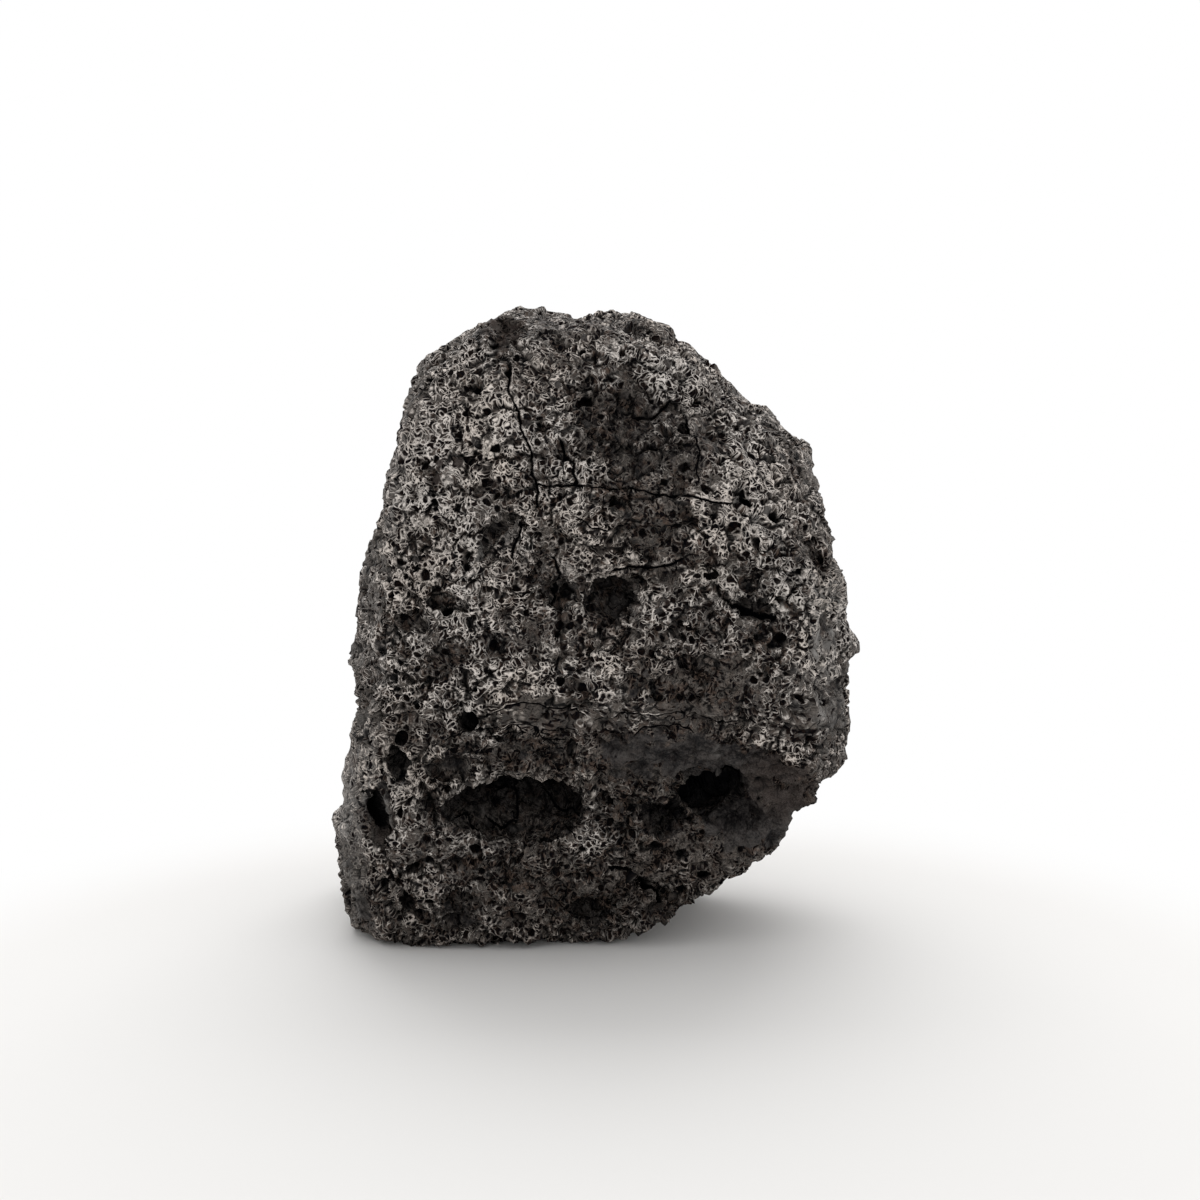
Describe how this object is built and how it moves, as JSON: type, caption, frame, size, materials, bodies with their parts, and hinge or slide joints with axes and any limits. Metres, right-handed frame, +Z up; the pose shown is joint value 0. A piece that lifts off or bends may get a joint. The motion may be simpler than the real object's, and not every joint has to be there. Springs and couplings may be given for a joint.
{
  "type": "iron meteorite",
  "caption": "Hand-sized iron meteorite with planed faces, thumb-print hollows and open pits, standing on a flattened foot.",
  "frame": {"origin": "centre of the bounding box's bottom face, level with the flattened foot", "axes": "+Z up from the foot to the crown, the broad pitted front face looks along -Y, +X to its right"},
  "size_m": [0.0694, 0.0558, 0.0823],
  "materials": {
    "meteorite": "weathered, pitted, matt charcoal with paler worn rims"
  },
  "bodies": {
    "root": {"meteorite": "meteorite"}
  },
  "joints": []
}
